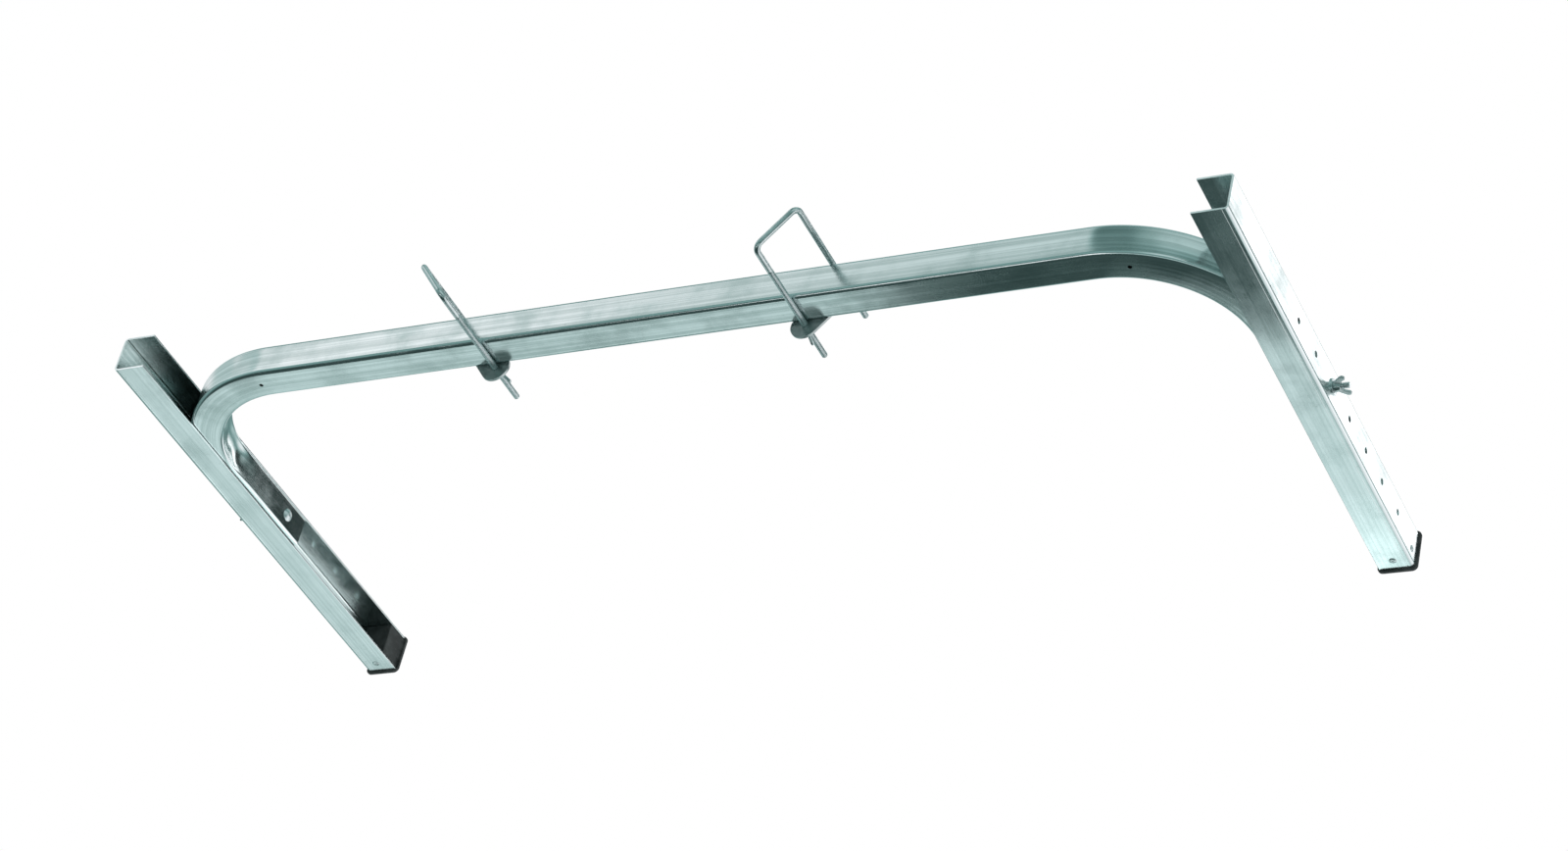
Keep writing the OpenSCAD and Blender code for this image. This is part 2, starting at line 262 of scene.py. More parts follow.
# ---- mesh code ----
def to_mesh(name, verts, faces, uvs=None, wear=None):
    """A mesh from points in millimetres. uvs and wear hold one value for each corner of each face."""
    mesh = bpy.data.meshes.new(name)
    mesh.from_pydata([Vector(v) * MM for v in verts], [], faces)
    if uvs:
        for layer, values in (("along", uvs), ("wear", [(w, 0.0) for w in wear])):
            data = mesh.uv_layers.new(name=layer).data
            for loop, value in zip(data, values):
                loop.uv = value
    mesh.validate()
    return mesh


def round_outline(w, h, r, steps=8):
    """A rectangle with round corners, anticlockwise, as (point, wear) pairs; wear is 1 in mid corner."""
    out = []
    for k, (sx, sy) in enumerate(((1, 1), (-1, 1), (-1, -1), (1, -1))):
        for i in range(steps + 1):
            a = (k + i / steps) * math.pi / 2
            x = sx * (w / 2 - r) + r * math.cos(a)
            y = sy * (h / 2 - r) + r * math.sin(a)
            out.append(((x, y), math.sin(math.pi * i / steps)))
    return out


def path_length(points):
    out = [0.0]
    for a, b in zip(points, points[1:]):
        out.append(out[-1] + math.dist(a, b))
    return out


def sweep(name, outline, stations, place, inner=None):
    """Sweeps a closed outline through stations. place(point, station, is_inner) gives the point in space.
    With an inner outline of the same count the ends are rings, and without one they are closed faces."""
    verts, faces, uvs, wear = [], [], [], []
    count = len(outline)
    around = path_length([p for p, _ in outline] + [outline[0][0]])
    along = [s["at"] for s in stations]
    loops = [outline] + ([inner] if inner else [])
    for which, loop in enumerate(loops):
        for station in stations:
            verts += [place(p, station, which == 1) for p, _ in loop]

    def corner(which, i, j):
        return (which * len(stations) + i) * count + j % count

    def add(ids, spots):
        faces.append(ids)
        for i, j in spots:
            uvs.append((along[i] * MM, around[j] * MM))
            wear.append(outline[j % count][1])

    for which in range(len(loops)):
        for i in range(len(stations) - 1):
            for j in range(count):
                ids = [(i, j), (i, j + 1), (i + 1, j + 1), (i + 1, j)]
                if which:
                    ids.reverse()
                add([corner(which, a, b) for a, b in ids], ids)
    last = len(stations) - 1
    if inner:
        for i in (0, last):
            for j in range(count):
                ids = [corner(0, i, j), corner(1, i, j), corner(1, i, j + 1), corner(0, i, j + 1)]
                spots = [(i, j), (i, j), (i, j + 1), (i, j + 1)]
                if i == last:
                    ids.reverse()
                    spots.reverse()
                add(ids, spots)
    else:
        add([corner(0, 0, j) for j in reversed(range(count))], [(0, j) for j in reversed(range(count))])
        add([corner(0, last, j) for j in range(count)], [(last, j) for j in range(count)])
    return to_mesh(name, verts, faces, uvs, wear)


def lathe(name, profile, steps=48):
    """Turns a closed profile of (radius, z) about Z. Points with no radius lie on the axis."""
    verts, faces, rings = [], [], []
    for r, z in profile:
        if r == 0:
            rings.append([len(verts)] * steps)
            verts.append((0, 0, z))
        else:
            rings.append([len(verts) + k for k in range(steps)])
            verts += [(r * math.cos(TAU * k / steps), r * math.sin(TAU * k / steps), z) for k in range(steps)]
    pairs = list(zip(rings, rings[1:]))
    if profile[0][0] or profile[-1][0]:
        pairs.append((rings[-1], rings[0]))
    for a, b in pairs:
        for k in range(steps):
            face = [a[k], a[(k + 1) % steps], b[(k + 1) % steps], b[k]]
            face = [v for i, v in enumerate(face) if v not in face[:i]]
            if len(face) > 2:
                faces.append(face)
    return to_mesh(name, verts, faces)


def thread_rings(start, end, radius, place, verts, faces, steps=20, cone=1.0):
    """Adds a right-hand helical thread from start to end along an axis. place(r, angle, z) gives each point.
    The thread fades in over its first turns and is cut by a cone at its end."""
    rows = 4
    crest = (0.0, 1.0, 1.0, 0.0)
    depth = 0.61 * PITCH
    total = int((end - start) / PITCH * rows) + 3 * rows
    base = len(verts)
    for i in range(total):
        for k in range(steps):
            z = start + PITCH * (i / rows + k / steps - 1)
            fade = smooth((z - start) / (2.5 * PITCH))
            z = min(max(z, start), end)
            r = radius - depth * (1 - crest[i % rows]) * fade
            r = min(r, radius - cone + (end - z))
            verts.append(place(r, TAU * k / steps, z))
    for i in range(total - 1):
        for k in range(steps):
            if k < steps - 1:
                face = [(i, k), (i, k + 1), (i + 1, k + 1), (i + 1, k)]
            elif i + 1 + rows < total:
                face = [(i, k), (i + rows, 0), (i + 1 + rows, 0), (i + 1, k)]
            else:
                continue
            faces.append([base + a * steps + b for a, b in face])


def box_mesh(name, low, high):
    xs, ys, zs = zip(low, high)
    verts = [(x, y, z) for x in xs for y in ys for z in zs]
    faces = [(0, 1, 3, 2), (4, 6, 7, 5), (0, 4, 5, 1), (2, 3, 7, 6), (0, 2, 6, 4), (1, 5, 7, 3)]
    return to_mesh(name, verts, faces)


def rod_mesh(name, start, end, radius, steps=40):
    """A plain cylinder from start to end, used as a cutter."""
    start, end = Vector(start), Vector(end)
    length = (end - start).length
    mesh = lathe(name, [(0, 0), (radius, 0), (radius, length), (0, length)], steps)
    turn = (end - start).to_track_quat("Z", "Y").to_matrix().to_4x4()
    mesh.transform(Matrix.Translation(start * MM) @ turn)
    return mesh


def as_object(name, mesh):
    obj = bpy.data.objects.new(name, mesh)
    bpy.context.collection.objects.link(obj)
    return obj


def tidy(mesh, merge=0.002):
    """Welds close points, drops flat faces, closes open ends and turns the faces outwards."""
    bm = bmesh.new()
    bm.from_mesh(mesh)
    bmesh.ops.remove_doubles(bm, verts=bm.verts, dist=merge * MM)
    bmesh.ops.dissolve_degenerate(bm, edges=bm.edges, dist=0.0005 * MM)
    open_edges = [e for e in bm.edges if e.is_boundary]
    if open_edges:
        bmesh.ops.holes_fill(bm, edges=open_edges, sides=0)
    bmesh.ops.recalc_face_normals(bm, faces=bm.faces)
    bm.to_mesh(mesh)
    bm.free()
    return mesh


def joined(name, meshes):
    """One mesh made of several."""
    bm = bmesh.new()
    for mesh in meshes:
        bm.from_mesh(mesh)
    out = bpy.data.meshes.new(name)
    bm.to_mesh(out)
    bm.free()
    return out


def settle(obj):
    """Applies the piece's modifiers to its mesh."""
    bpy.context.view_layer.update()
    done = bpy.data.meshes.new_from_object(obj.evaluated_get(bpy.context.evaluated_depsgraph_get()))
    obj.modifiers.clear()
    obj.data = done
    return obj


def combine(obj, meshes, operation="DIFFERENCE"):
    """Cuts the meshes out of the piece, or adds them to it, exactly."""
    for mesh in meshes:
        tool = as_object("tool", tidy(mesh))
        mod = obj.modifiers.new("combine", "BOOLEAN")
        mod.operation = operation
        mod.solver = "EXACT"
        mod.object = tool
        settle(obj)
        bpy.data.objects.remove(tool)
    return obj


def bevelled(obj, width, angle=40.0, segments=2):
    mod = obj.modifiers.new("bevel", "BEVEL")
    mod.width = width * MM
    mod.segments = segments
    mod.limit_method = "ANGLE"
    mod.angle_limit = math.radians(angle)
    return settle(obj)


def dressed(obj, material, body, nodes, angle=38.0):
    """Adds the finish, smooth shading with the flats kept flat, the body it rides on and what it replaces."""
    mesh = obj.data
    mesh.materials.clear()
    mesh.materials.append(material)
    mesh.shade_smooth()
    mesh.set_sharp_from_angle(angle=math.radians(angle))
    mod = obj.modifiers.new("normals", "WEIGHTED_NORMAL")
    mod.keep_sharp = True
    settle(obj)
    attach(obj, body)
    if nodes:
        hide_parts(*nodes)
    return obj


def mirrored(mesh):
    """The same mesh on the left side."""
    out = mesh.copy()
    out.transform(Matrix.Scale(-1, 4, (1, 0, 0)))
    out.flip_normals()
    return out


# ---- crossbar tube ----
# What bending did to the tube's walls, in millimetres: how far the inner wall sinks and ripples, how far the
# outer wall flattens and ripples, how far the sides bulge, and the number of ripples.
SINK, SINK_RIPPLE = 3.6, 0.7
FLATTEN, FLATTEN_RIPPLE = 0.9, 0.35
BULGE = 0.55
RIPPLES = 6.0
# The dent starts this far before the bend on its leg side and fades out this far past its other end.
DENT_BEFORE, DENT_GROWS = 26.0, 44.0
DENT_AFTER, DENT_FADES = 8.0, 36.0
LEG_STEPS, BEND_STEPS, BAR_STEPS = 28, 56, 72


def tube_stations():
    """Stations from the left leg's end to the right leg's end: the middle, the direction in degrees, the
    length so far and how far into its bend each one lies, in millimetres from the bend's leg end."""
    out = []

    def add(x, y, turn, into):
        at = out[-1]["at"] + math.dist(out[-1]["mid"], (x, y)) if out else 0.0
        out.append({"mid": (x, y), "turn": turn, "into": into, "at": at})

    def bend(i):
        share = i / BEND_STEPS
        a = math.radians(90 * share)
        return BEND_X + BEND_R * math.cos(a), LEG_Y0 - BEND_R * math.sin(a), 90 * share, BEND_R * a

    leg = [LEG_END_Y + (LEG_Y0 - LEG_END_Y) * i / LEG_STEPS for i in range(LEG_STEPS)]
    bar = [-BEND_X + 2 * BEND_X * i / BAR_STEPS for i in range(1, BAR_STEPS)]
    for y in leg:
        add(-LEG_X, y, -90.0, LEG_Y0 - y)
    for i in range(BEND_STEPS + 1):
        x, y, turned, into = bend(i)
        add(-x, y, -90 + turned, into)
    for x in bar:
        add(x, TUBE / 2, 0.0, BEND_LEN + BEND_X - abs(x))
    for i in reversed(range(BEND_STEPS + 1)):
        x, y, turned, into = bend(i)
        add(x, y, 90 - turned, into)
    for y in reversed(leg):
        add(LEG_X, y, 90.0, LEG_Y0 - y)
    return out


def tube_place(point, station, is_inner):
    """n points away from the inside of the bend, and z is up. The wall inside a bend sinks in the middle,
    the outer one flattens with faint ripples, and the sides bulge."""
    n, z = point
    half = TUBE / 2
    into = station["into"]
    share = smooth((into + DENT_BEFORE) / DENT_GROWS) * smooth((BEND_LEN + DENT_AFTER - into) / DENT_FADES)
    if share:
        mid = max(0.0, 1 - (z / (half - 1.5)) ** 2)
        ripple = 0.5 - 0.5 * math.cos(TAU * RIPPLES * into / BEND_LEN)
        sink = SINK + SINK_RIPPLE * ripple
        flatten = FLATTEN + FLATTEN_RIPPLE * ripple
        inside = smooth((-n - half + TUBE_R) / TUBE_R)
        outside = smooth((n - half + TUBE_R) / TUBE_R)
        n += share * (sink * mid * inside - flatten * mid * outside)
        z += math.copysign(BULGE * share * max(0.0, 1 - (n / half) ** 2), z) * (abs(z) > half - TUBE_R)
    a = math.radians(station["turn"])
    x, y = station["mid"]
    return (x + n * math.sin(a), y - n * math.cos(a), z)


def make_tube():
    """The bent tube with its bore, the lock bolts' holes and the drain holes."""
    outer = round_outline(TUBE, TUBE, TUBE_R, 8)
    bore = TUBE - 2 * TUBE_WALL
    inner = round_outline(bore, bore, TUBE_R - TUBE_WALL, 8)

    def split(outline):
        """More points on the flats, so that the walls can sink smoothly."""
        out = []
        for (p, w), (q, v) in zip(outline, outline[1:] + outline[:1]):
            out.append((p, w))
            if math.dist(p, q) > 10:
                for i in range(1, 10):
                    t = i / 10
                    out.append(((p[0] + (q[0] - p[0]) * t, p[1] + (q[1] - p[1]) * t), 0.0))
        return out

    obj = as_object("tube", sweep("tube", split(outer), tube_stations(), tube_place, split(inner)))
    tidy(obj.data)
    cuts = []
    for side_name, side in SIDES.items():
        face = side * (LEG_X - TUBE / 2)
        neck = (ROD + 0.5) / 2
        near, far = sorted((face - side * 1, face + side * (TUBE_WALL + 1)))
        cuts.append(box_mesh("neck", (near, BOLT_Y - neck, -neck), (far, BOLT_Y + neck, neck)))
        middle, beyond = (side * LEG_X, BOLT_Y, 0), (side * (LEG_X + TUBE), BOLT_Y, 0)
        cuts.append(rod_mesh("hole", middle, beyond, HOLE_D / 2))
        x = side * (BEND_X + DRAIN_IN[side_name])
        y = LEG_Y0 - math.sqrt(BEND_R ** 2 - DRAIN_IN[side_name] ** 2)
        cuts.append(rod_mesh("drain", (x, y, -TUBE), (x, y, -TUBE / 2 + 3), DRAIN_D / 2))
    combine(obj, cuts)
    return dressed(obj, TUBE_METAL, "crossbar", ["crossbar_tube"])


# ---- arm channels ----
LIP_R = 0.7
GROOVE_X = -ARM_R - 1.8
GROOVE_DEPTH = 0.22
RIVET_HOLE_R = 2.1
EDGE_BREAK = 0.25


def channel_outline():
    """The C section with its web's outer face on x = 0, opening towards -x, with round corners and lips and a
    shallow die groove along each flange."""
    half = ARM_H / 2
    lip = LIP_R
    out = []

    def arc(cx, cy, r, a0, a1, steps, wear):
        for i in range(steps + 1):
            a = math.radians(a0 + (a1 - a0) * i / steps)
            share = math.sin(math.pi * i / steps) if steps > 3 else 1.0
            out.append(((cx + r * math.cos(a), cy + r * math.sin(a)), wear * share))

    def half_section(s):
        """One flange, from the web's corner to its lip and back inside: the top one, or the other if s < 0."""
        mark = len(out)
        arc(-ARM_R, half - ARM_R, ARM_R, 0, 90, 8, 1.0)
        for off, down in ((0.6, 0.0), (0.3, GROOVE_DEPTH), (-0.3, GROOVE_DEPTH), (-0.6, 0.0)):
            out.append(((GROOVE_X + off, half - down), 0.3))
        arc(-ARM_D + lip, half - lip, lip, 90, 180, 3, 0.8)
        arc(-ARM_D + lip, half - ARM_WALL + lip, lip, 180, 270, 3, 0.8)
        arc(-ARM_R, half - ARM_R, ARM_R - ARM_WALL, 90, 0, 8, 0.0)
        part = out[mark:]
        del out[mark:]
        if s < 0:
            part = [((x, -y), w) for (x, y), w in reversed(part)]
        return part

    return half_section(1) + half_section(-1)


def make_arm(side_name):
    """One arm: a channel with its row of holes and the holes for the pad's rivets."""
    side = SIDES[side_name]
    stations = [{"at": ARM_Y1 - (ARM_Y1 - ARM_Y0) * i / 24} for i in range(25)]

    def place(p, station, _):
        return (WEB_X + p[0], station["at"], p[1])

    mesh = tidy(sweep("channel", channel_outline(), stations, place))
    obj = as_object(side_name + "_channel", mesh)
    near, far, mid_x = WEB_X - 5, WEB_X + 5, WEB_X - ARM_D / 2
    cuts = [rod_mesh("hole", (near, y, 0), (far, y, 0), HOLE_D / 2) for y in HOLES]
    cuts.append(rod_mesh("rivet", (near, RIVET_Y, -RIVET_DROP), (far, RIVET_Y, -RIVET_DROP), RIVET_HOLE_R))
    cuts.append(rod_mesh("rivet", (mid_x, RIVET_Y, -ARM_H), (mid_x, RIVET_Y, -ARM_H / 2 + 4), RIVET_HOLE_R))
    combine(obj, cuts)
    bevelled(obj, EDGE_BREAK, 50.0)
    if side < 0:
        obj.data = mirrored(obj.data)
    nodes = [side_name + "_arm_channel"]
    return dressed(obj, CHANNEL_METAL, side_name + "_arm", nodes, 30.0)


# ---- end pads ----
BLOCK_GAP, BLOCK_R = 0.1, 2.3
GRIP_COUNT, GRIP_PITCH, GRIP_R = 5, 8.0, 1.25


def make_pad(side_name):
    """A moulded pad: a plate over the channel's end, with grip grooves, and a block inside the channel."""
    depth = ARM_D + 2 * PAD_OUT
    height = ARM_H + 2 * PAD_OUT
    mid_x = WEB_X - ARM_D / 2

    def loft(stations, w, h, r, cx):
        def place(p, s, _):
            inset = s["inset"]
            return (cx + p[0] * (1 - 2 * inset / w), s["at"], p[1] * (1 - 2 * inset / h))
        return tidy(sweep("pad", round_outline(w, h, r, 8), stations, place))

    def rounded(low, high, r_low, r_high, steps=4):
        out = []
        for i in range(steps + 1):
            a = math.pi / 2 * i / steps
            out.append({"at": low + r_low * (1 - math.cos(a)), "inset": r_low * (1 - math.sin(a))})
        for i in range(steps + 1):
            a = math.pi / 2 * i / steps
            out.append({"at": high - r_high * (1 - math.sin(a)), "inset": r_high * (1 - math.cos(a))})
        return out

    plate = loft(rounded(ARM_Y1, ARM_Y1 + PAD_T, 0.5, 1.3), depth, height, PAD_R, mid_x)
    fit_w = ARM_D - ARM_WALL
    fit_h = ARM_H - 2 * ARM_WALL
    block_x = WEB_X - ARM_WALL - fit_w / 2
    stations = rounded(ARM_Y1 - PAD_IN, ARM_Y1 + 2, 1.2, 0.3)
    block = loft(stations, fit_w - BLOCK_GAP, fit_h - BLOCK_GAP, BLOCK_R, block_x)
    obj = as_object(side_name + "_pad", plate)
    combine(obj, [block], "UNION")
    grooves = []
    face = ARM_Y1 + PAD_T + 0.25
    for i in range(GRIP_COUNT):
        z = (i - GRIP_COUNT // 2) * GRIP_PITCH
        grooves.append(rod_mesh("groove", (mid_x - depth, face, z), (mid_x + depth, face, z), GRIP_R, 20))
    combine(obj, grooves)
    if SIDES[side_name] < 0:
        obj.data = mirrored(obj.data)
    return dressed(obj, RUBBER, side_name + "_arm", [side_name + "_end_pad"], 40.0)


def make_rivets(side_name):
    """Blind rivets: a low domed head with the broken stem in its middle."""
    half = ARM_WALL / 2
    stem = [(0, 0.6), (0.9, 0.6), (1.0, 0.5), (1.15, 0.5)]
    head = [(1.3, 0.95), (1.9, 1.0), (2.7, 0.88), (3.5, 0.56), (3.9, 0.28), (3.95, 0.1), (3.8, 0.0)]
    shank = [(2.1, 0.0), (2.1, -11.6), (1.7, -12.0), (0, -12.0)]
    spots = (
        (Vector((WEB_X - half, RIVET_Y, -RIVET_DROP)), Vector((1, 0, 0))),
        (Vector((WEB_X - ARM_D / 2, RIVET_Y, -ARM_H / 2 + half)), Vector((0, 0, -1))),
    )
    parts = []
    for spot, axis in spots:
        mesh = lathe("rivet", stem + head + shank, 32)
        turn = axis.to_track_quat("Z", "Y").to_matrix().to_4x4()
        mesh.transform(Matrix.Translation((spot + axis * half) * MM) @ turn)
        parts.append(mesh)
    mesh = tidy(joined("rivets", parts))
    if SIDES[side_name] < 0:
        mesh = mirrored(mesh)
    obj = as_object(side_name + "_rivets", mesh)
    return dressed(obj, RIVET_METAL, side_name + "_arm", [side_name + "_pad_rivets"], 50.0)


# ---- bolts, washers and wing nuts ----
def make_lock_bolt(side_name):
    """Carriage bolt: a domed head, a square neck that runs out into the rod, and a rolled thread."""
    side = SIDES[side_name]
    head_x = LEG_X - TUBE / 2
    length = BOLT_TIP_X - head_x
    sphere_r = (HEAD_D ** 2 / 4 + HEAD_H ** 2) / (2 * HEAD_H)
    profile = [(0, -HEAD_H)]
    edge = 0.5
    for i in range(1, 13):
        r = (HEAD_D / 2 - edge) * i / 12
        profile.append((r, sphere_r - HEAD_H - math.sqrt(sphere_r ** 2 - r ** 2)))
    profile += [(HEAD_D / 2 - 0.1, -0.35), (HEAD_D / 2 - 0.1, -0.12), (HEAD_D / 2 - 0.3, 0.0), (0, 0.0)]
    head = tidy(lathe("head", profile, 48))
    neck_outline = round_outline(ROD, ROD, 0.7, 4)
    neck_stations = [{"at": -0.5, "k": 1.0}, {"at": NECK_H - 0.8, "k": 1.0}, {"at": NECK_H, "k": 0.86}]

    def place(p, s, _):
        return (p[0] * s["k"], p[1] * s["k"], s["at"])

    neck = tidy(sweep("neck", neck_outline, neck_stations, place))
    verts, faces = [], []

    def ring(r, a, z):
        return (r * math.cos(a), r * math.sin(a), z)

    thread_rings(NECK_H - 1.0, length, ROD / 2, ring, verts, faces, 24)
    rod = tidy(to_mesh("rod", verts, faces))
    obj = as_object(side_name + "_bolt", head)
    combine(obj, [neck, rod], "UNION")
    axis = Vector((side, 0, 0))
    turn = axis.to_track_quat("Z", "Y").to_matrix().to_4x4()
    obj.data.transform(Matrix.Translation(Vector((side * head_x, BOLT_Y, 0)) * MM) @ turn)
    return dressed(obj, BOLT_METAL, "crossbar", [side_name + "_lock_bolt"], 42.0)


def washer_mesh():
    """A stamped washer: rolled over on its face, with a sharper edge below."""
    r, b, t = WASHER_D / 2, HOLE_D / 2, WASHER_T
    profile = [(b + 0.1, 0.0), (r - 0.12, 0.0), (r, 0.12), (r, t - 0.4), (r - 0.12, t - 0.12), (r - 0.42, t),
               (b + 0.4, t), (b + 0.1, t - 0.12), (b, t - 0.4), (b, 0.1)]
    return tidy(lathe("washer", profile, 56))


def wing_nut_mesh():
    """A cast wing nut: base on z = 0, wings along +x and -x, all its corners run into fillets."""
    hub_r, top_r = HUB_D / 2, HUB_TOP_D / 2
    hub = [(0, 0.0), (hub_r - 0.5, 0.0), (hub_r, 0.5), (hub_r - 0.1, 1.2), (top_r + 0.1, HUB_H - 0.9),
           (top_r - 0.5, HUB_H), (0, HUB_H)]
    parts = [tidy(lathe("hub", hub, 40))]
    root = top_r - 1.6
    tip_x = WING_SPAN / 2 - WING_TIP_R
    tip_z = WING_H - WING_TIP_R
    outline = [(root, 0.9), (hub_r + 1.0, 1.5), (hub_r + 3.2, 3.6), (WING_SPAN / 2 - 0.9, tip_z - 2.4)]
    for i in range(9):
        a = math.radians(-30 + 195 * i / 8)
        outline.append((tip_x + WING_TIP_R * math.cos(a), tip_z + WING_TIP_R * math.sin(a)))
    outline += [(hub_r + 0.9, HUB_H + 1.4), (root, HUB_H - 0.4)]
    count = len(outline)
    layers = ((-WING_T / 2, 0.92), (-WING_T / 2 + 0.35, 1.0), (WING_T / 2 - 0.35, 1.0), (WING_T / 2, 0.92))
    cx, cz = tip_x - 2.5, tip_z - 2.5
    for s in (1, -1):
        verts = []
        for y, k in layers:
            verts += [(s * (cx + (x - cx) * k), y, cz + (z - cz) * k) for x, z in outline]
        faces = [list(range(count)), list(range(3 * count, 4 * count))]
        for i in range(3):
            for j in range(count):
                k = (j + 1) % count
                faces.append([i * count + j, i * count + k, (i + 1) * count + k, (i + 1) * count + j])
        parts.append(tidy(to_mesh("wing", verts, faces)))
    obj = as_object("wing_nut_cast", joined("cast", parts))
    mod = obj.modifiers.new("cast", "REMESH")
    mod.mode = "VOXEL"
    mod.voxel_size = 0.3 * MM
    relax = obj.modifiers.new("relax", "SMOOTH")
    relax.factor = 0.5
    relax.iterations = 5
    thin = obj.modifiers.new("thin", "DECIMATE")
    thin.ratio = 0.45
    settle(obj)
    bore = (ROD + 0.12) / 2
    cutter = lathe("bore", [(0, -1), (bore + 1.0, -1), (bore + 0.9, 0.0), (bore, 0.8), (bore, HUB_H - 0.7),
                            (bore + 0.7, HUB_H), (bore + 0.7, HUB_H + 2), (0, HUB_H + 2)], 40)
    combine(obj, [cutter])
    mesh = obj.data.copy()
    bpy.data.objects.remove(obj)
    return mesh


WASHER = washer_mesh()
WING_NUT = wing_nut_mesh()


def stood(mesh, spot, axis, wings=None):
    """A copy of a mesh with its base at spot, its z along axis and its x along wings."""
    axis = Vector(axis).normalized()
    wings = Vector(wings or axis.orthogonal()).normalized()
    side = axis.cross(wings)
    turn = Matrix((wings, side, axis)).transposed().to_4x4()
    out = mesh.copy()
    out.transform(Matrix.Translation(Vector(spot) * MM) @ turn)
    return out


def make_lock_hardware(side_name, turn):
    """The lock bolt's washer and wing nut, outside the arm's web."""
    side = SIDES[side_name]
    out = (side, 0, 0)
    washer = as_object(side_name + "_washer", stood(WASHER, (side * WEB_X, BOLT_Y, 0), out))
    dressed(washer, BOLT_METAL, side_name + "_lock_washer", [side_name + "_lock_washer"])
    wings = (0, math.cos(turn), math.sin(turn))
    nut = as_object(side_name + "_nut", stood(WING_NUT, (side * (WEB_X + WASHER_T), BOLT_Y, 0), out, wings))
    dressed(nut, NUT_METAL, side_name + "_lock_nut", [side_name + "_lock_wing_nut"], 60.0)


# ---- U-bolt clamps ----
# The plain length of each leg past its corner, and the length of the point on its tip.
PLAIN_LEG = 26
POINT_LEN = 2.3
CORNER_STEPS = 12


def at_clamp(side_name, u, y, w=0.0):
    """A point of the clamp: u runs along the slant, y as in the whole part, w square to both."""
    side = SIDES[side_name]
    x = u * math.cos(TILT) - w * math.sin(TILT)
    z = u * math.sin(TILT) + w * math.cos(TILT)
    return (CLAMP_X[side_name] + side * x, y, z)


def make_u_bolt(side_name):
    """A square U-bolt: one rod, bent at two corners, with a long rolled thread on each leg."""
    half = DIAGONAL / 2
    steps = 20
    inset, lift = half - CORNER_R, BASE_Y + CORNER_R
    shoulder = lift + PLAIN_LEG
    path = [(-half, shoulder, -90.0)]
    for i in range(CORNER_STEPS + 1):
        turn = 90 * i / CORNER_STEPS
        a = math.radians(turn)
        path.append((-inset - CORNER_R * math.cos(a), lift - CORNER_R * math.sin(a), turn - 90))
    for i in range(CORNER_STEPS + 1):
        turn = 90 * i / CORNER_STEPS
        a = math.radians(turn)
        path.append((inset + CORNER_R * math.sin(a), lift - CORNER_R * math.cos(a), turn))
    path.append((half, shoulder, 90.0))
    verts, faces = [], []
    for u, y, turn in path:
        t = math.radians(turn)
        for k in range(steps):
            a = TAU * k / steps
            n = ROD / 2 * math.cos(a)
            verts.append(at_clamp(side_name, u + n * math.sin(t), y - n * math.cos(t), ROD / 2 * math.sin(a)))
    for i in range(len(path) - 1):
        for k in range(steps):
            m = (k + 1) % steps
            faces.append([i * steps + k, i * steps + m, (i + 1) * steps + m, (i + 1) * steps + k])
    hand = SIDES[side_name]
    for end in (-1, 1):
        def place(r, a, z, end=end):
            return at_clamp(side_name, end * half + end * r * math.cos(a), z, -hand * end * r * math.sin(a))

        thread_rings(shoulder, TIP_Y, ROD / 2, place, verts, faces, steps, POINT_LEN)
    obj = as_object(side_name + "_bow", tidy(to_mesh("bow", verts, faces)))
    return dressed(obj, BOLT_METAL, side_name + "_clamp_bow", [side_name + "_u_bolt"], 42.0)


def make_clamp_plate(side_name):
    """A stamped bar with round ends: rolled over on its face, with a burr side below."""
    half = DIAGONAL / 2
    outline = []
    for end in (1, -1):
        for i in range(25):
            a = math.radians(-90 + 180 * i / 24)
            outline.append((end * (half + PLATE_W / 2 * math.cos(a)), end * PLATE_W / 2 * math.sin(a)))
    layers = ((0.0, 0.15), (0.15, 0.0), (PLATE_T - 0.6, 0.0), (PLATE_T - 0.2, 0.18), (PLATE_T, 0.6))
    count = len(outline)
    verts = []
    for y, inset in layers:
        for u, w in outline:
            cu = math.copysign(half, u)
            k = 1 - inset / (PLATE_W / 2)
            verts.append(at_clamp(side_name, cu + (u - cu) * k, TUBE + y, w * k))
    faces = [list(range(count)), list(range((len(layers) - 1) * count, len(layers) * count))]
    for i in range(len(layers) - 1):
        for j in range(count):
            m = (j + 1) % count
            faces.append([i * count + j, i * count + m, (i + 1) * count + m, (i + 1) * count + j])
    obj = as_object(side_name + "_plate", tidy(to_mesh("plate", verts, faces)))
    cuts = []
    for end in (-1, 1):
        low = at_clamp(side_name, end * half, TUBE - 2)
        high = at_clamp(side_name, end * half, TUBE + PLATE_T + 2)
        cuts.append(rod_mesh("hole", low, high, HOLE_D / 2))
    combine(obj, cuts)
    return dressed(obj, PLATE_ZINC_PAINTED_SHADE, side_name + "_clamp_plate", [side_name + "_clamp_plate"])


def make_clamp_hardware(side_name, end, name, turn):
    """The washer and wing nut on one leg of a U-bolt."""
    back = (0, 1, 0)
    stem = side_name + "_" + name
    leg_u = end * DIAGONAL / 2
    seat = TUBE + PLATE_T
    washer = as_object(stem + "_ring", stood(WASHER, at_clamp(side_name, leg_u, seat), back))
    dressed(washer, BOLT_METAL, side_name + "_clamp_plate", [stem + "_washer"])
    slant = TILT - turn
    wings = (SIDES[side_name] * math.cos(slant), 0, math.sin(slant))
    nut = as_object(stem + "_nut", stood(WING_NUT, at_clamp(side_name, leg_u, seat + WASHER_T), back, wings))
    dressed(nut, NUT_METAL, stem + "_nut", [stem + "_wing_nut"], 60.0)


# How far each wing nut is turned, in degrees.
LOCK_TURN = {"left": 35.0, "right": 0.0}
CLAMP_TURN = {
    ("left", "upper"): 70.0,
    ("left", "lower"): 20.0,
    ("right", "upper"): -30.0,
    ("right", "lower"): -55.0,
}

